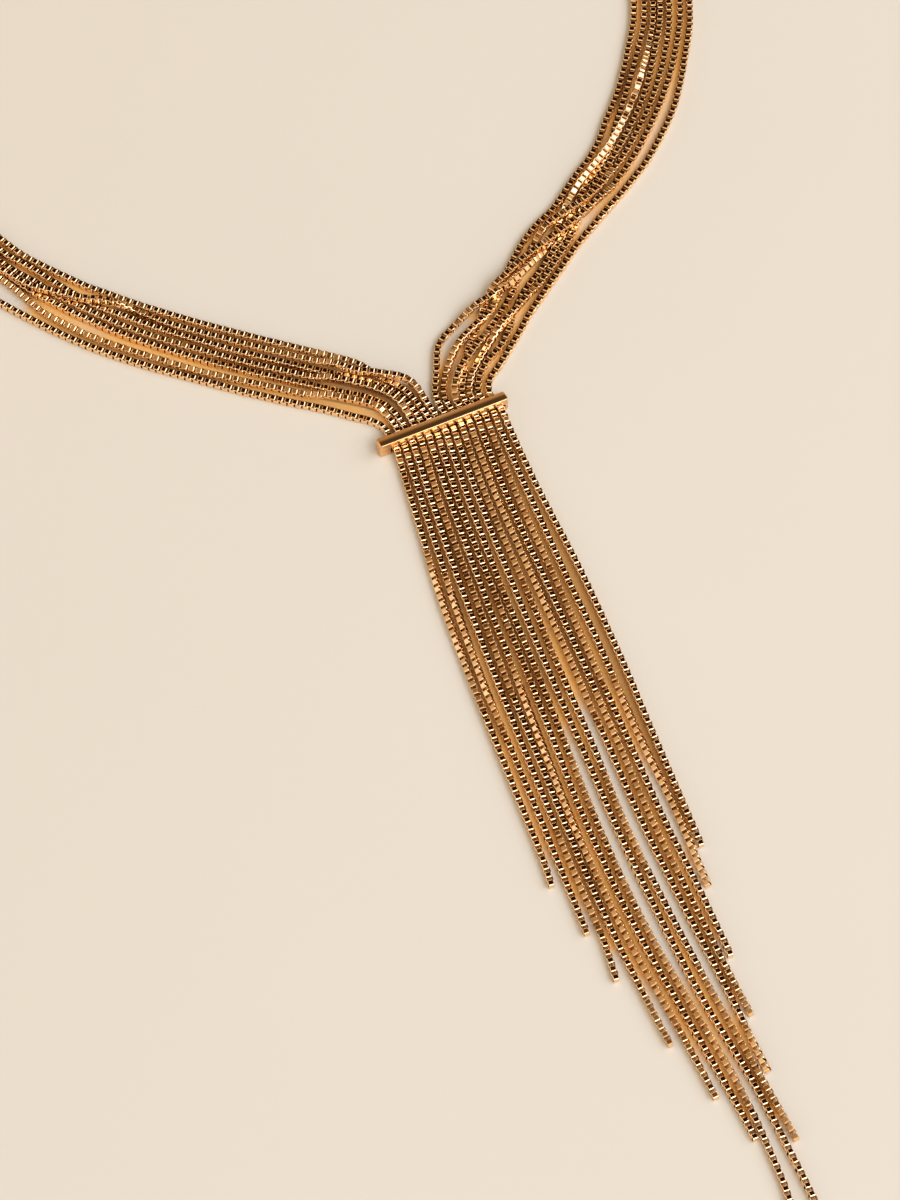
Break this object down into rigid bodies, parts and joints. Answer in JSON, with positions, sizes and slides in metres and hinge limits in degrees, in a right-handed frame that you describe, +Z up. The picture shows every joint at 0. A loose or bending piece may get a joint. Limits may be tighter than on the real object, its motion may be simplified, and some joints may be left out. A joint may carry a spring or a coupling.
{
  "type": "tassel necklace",
  "caption": "Multi-strand box-chain necklace lying flat: the strands gather in a slotted slider bar with a thick polished top and hang below it as a long stepped tassel; plain clasp behind.",
  "frame": {"origin": "centre of the slider bar's underside, on the surface the necklace lies on", "axes": "+X along the slider bar, +Y from the bar towards the neck, so the tassel runs along -Y, +Z up from the surface"},
  "size_m": [0.1787, 0.3595, 0.004],
  "materials": {
    "chain_metal": "warm gold-tone plated box chain, polished, small bright links",
    "polished_bar": "warm gold-tone plated metal, mirror polished",
    "clasp_metal": "warm gold-tone plated metal, satin polished"
  },
  "bodies": {
    "root": {"slider_bar": "polished_bar", "clasp": "clasp_metal", "chain_left_1": "chain_metal", "chain_left_2": "chain_metal", "chain_left_3": "chain_metal", "chain_left_4": "chain_metal", "chain_left_5": "chain_metal", "chain_left_6": "chain_metal", "chain_left_7": "chain_metal", "chain_right_1": "chain_metal", "chain_right_2": "chain_metal", "chain_right_3": "chain_metal", "chain_right_4": "chain_metal", "chain_right_5": "chain_metal", "chain_right_6": "chain_metal", "chain_right_7": "chain_metal"}
  },
  "joints": []
}
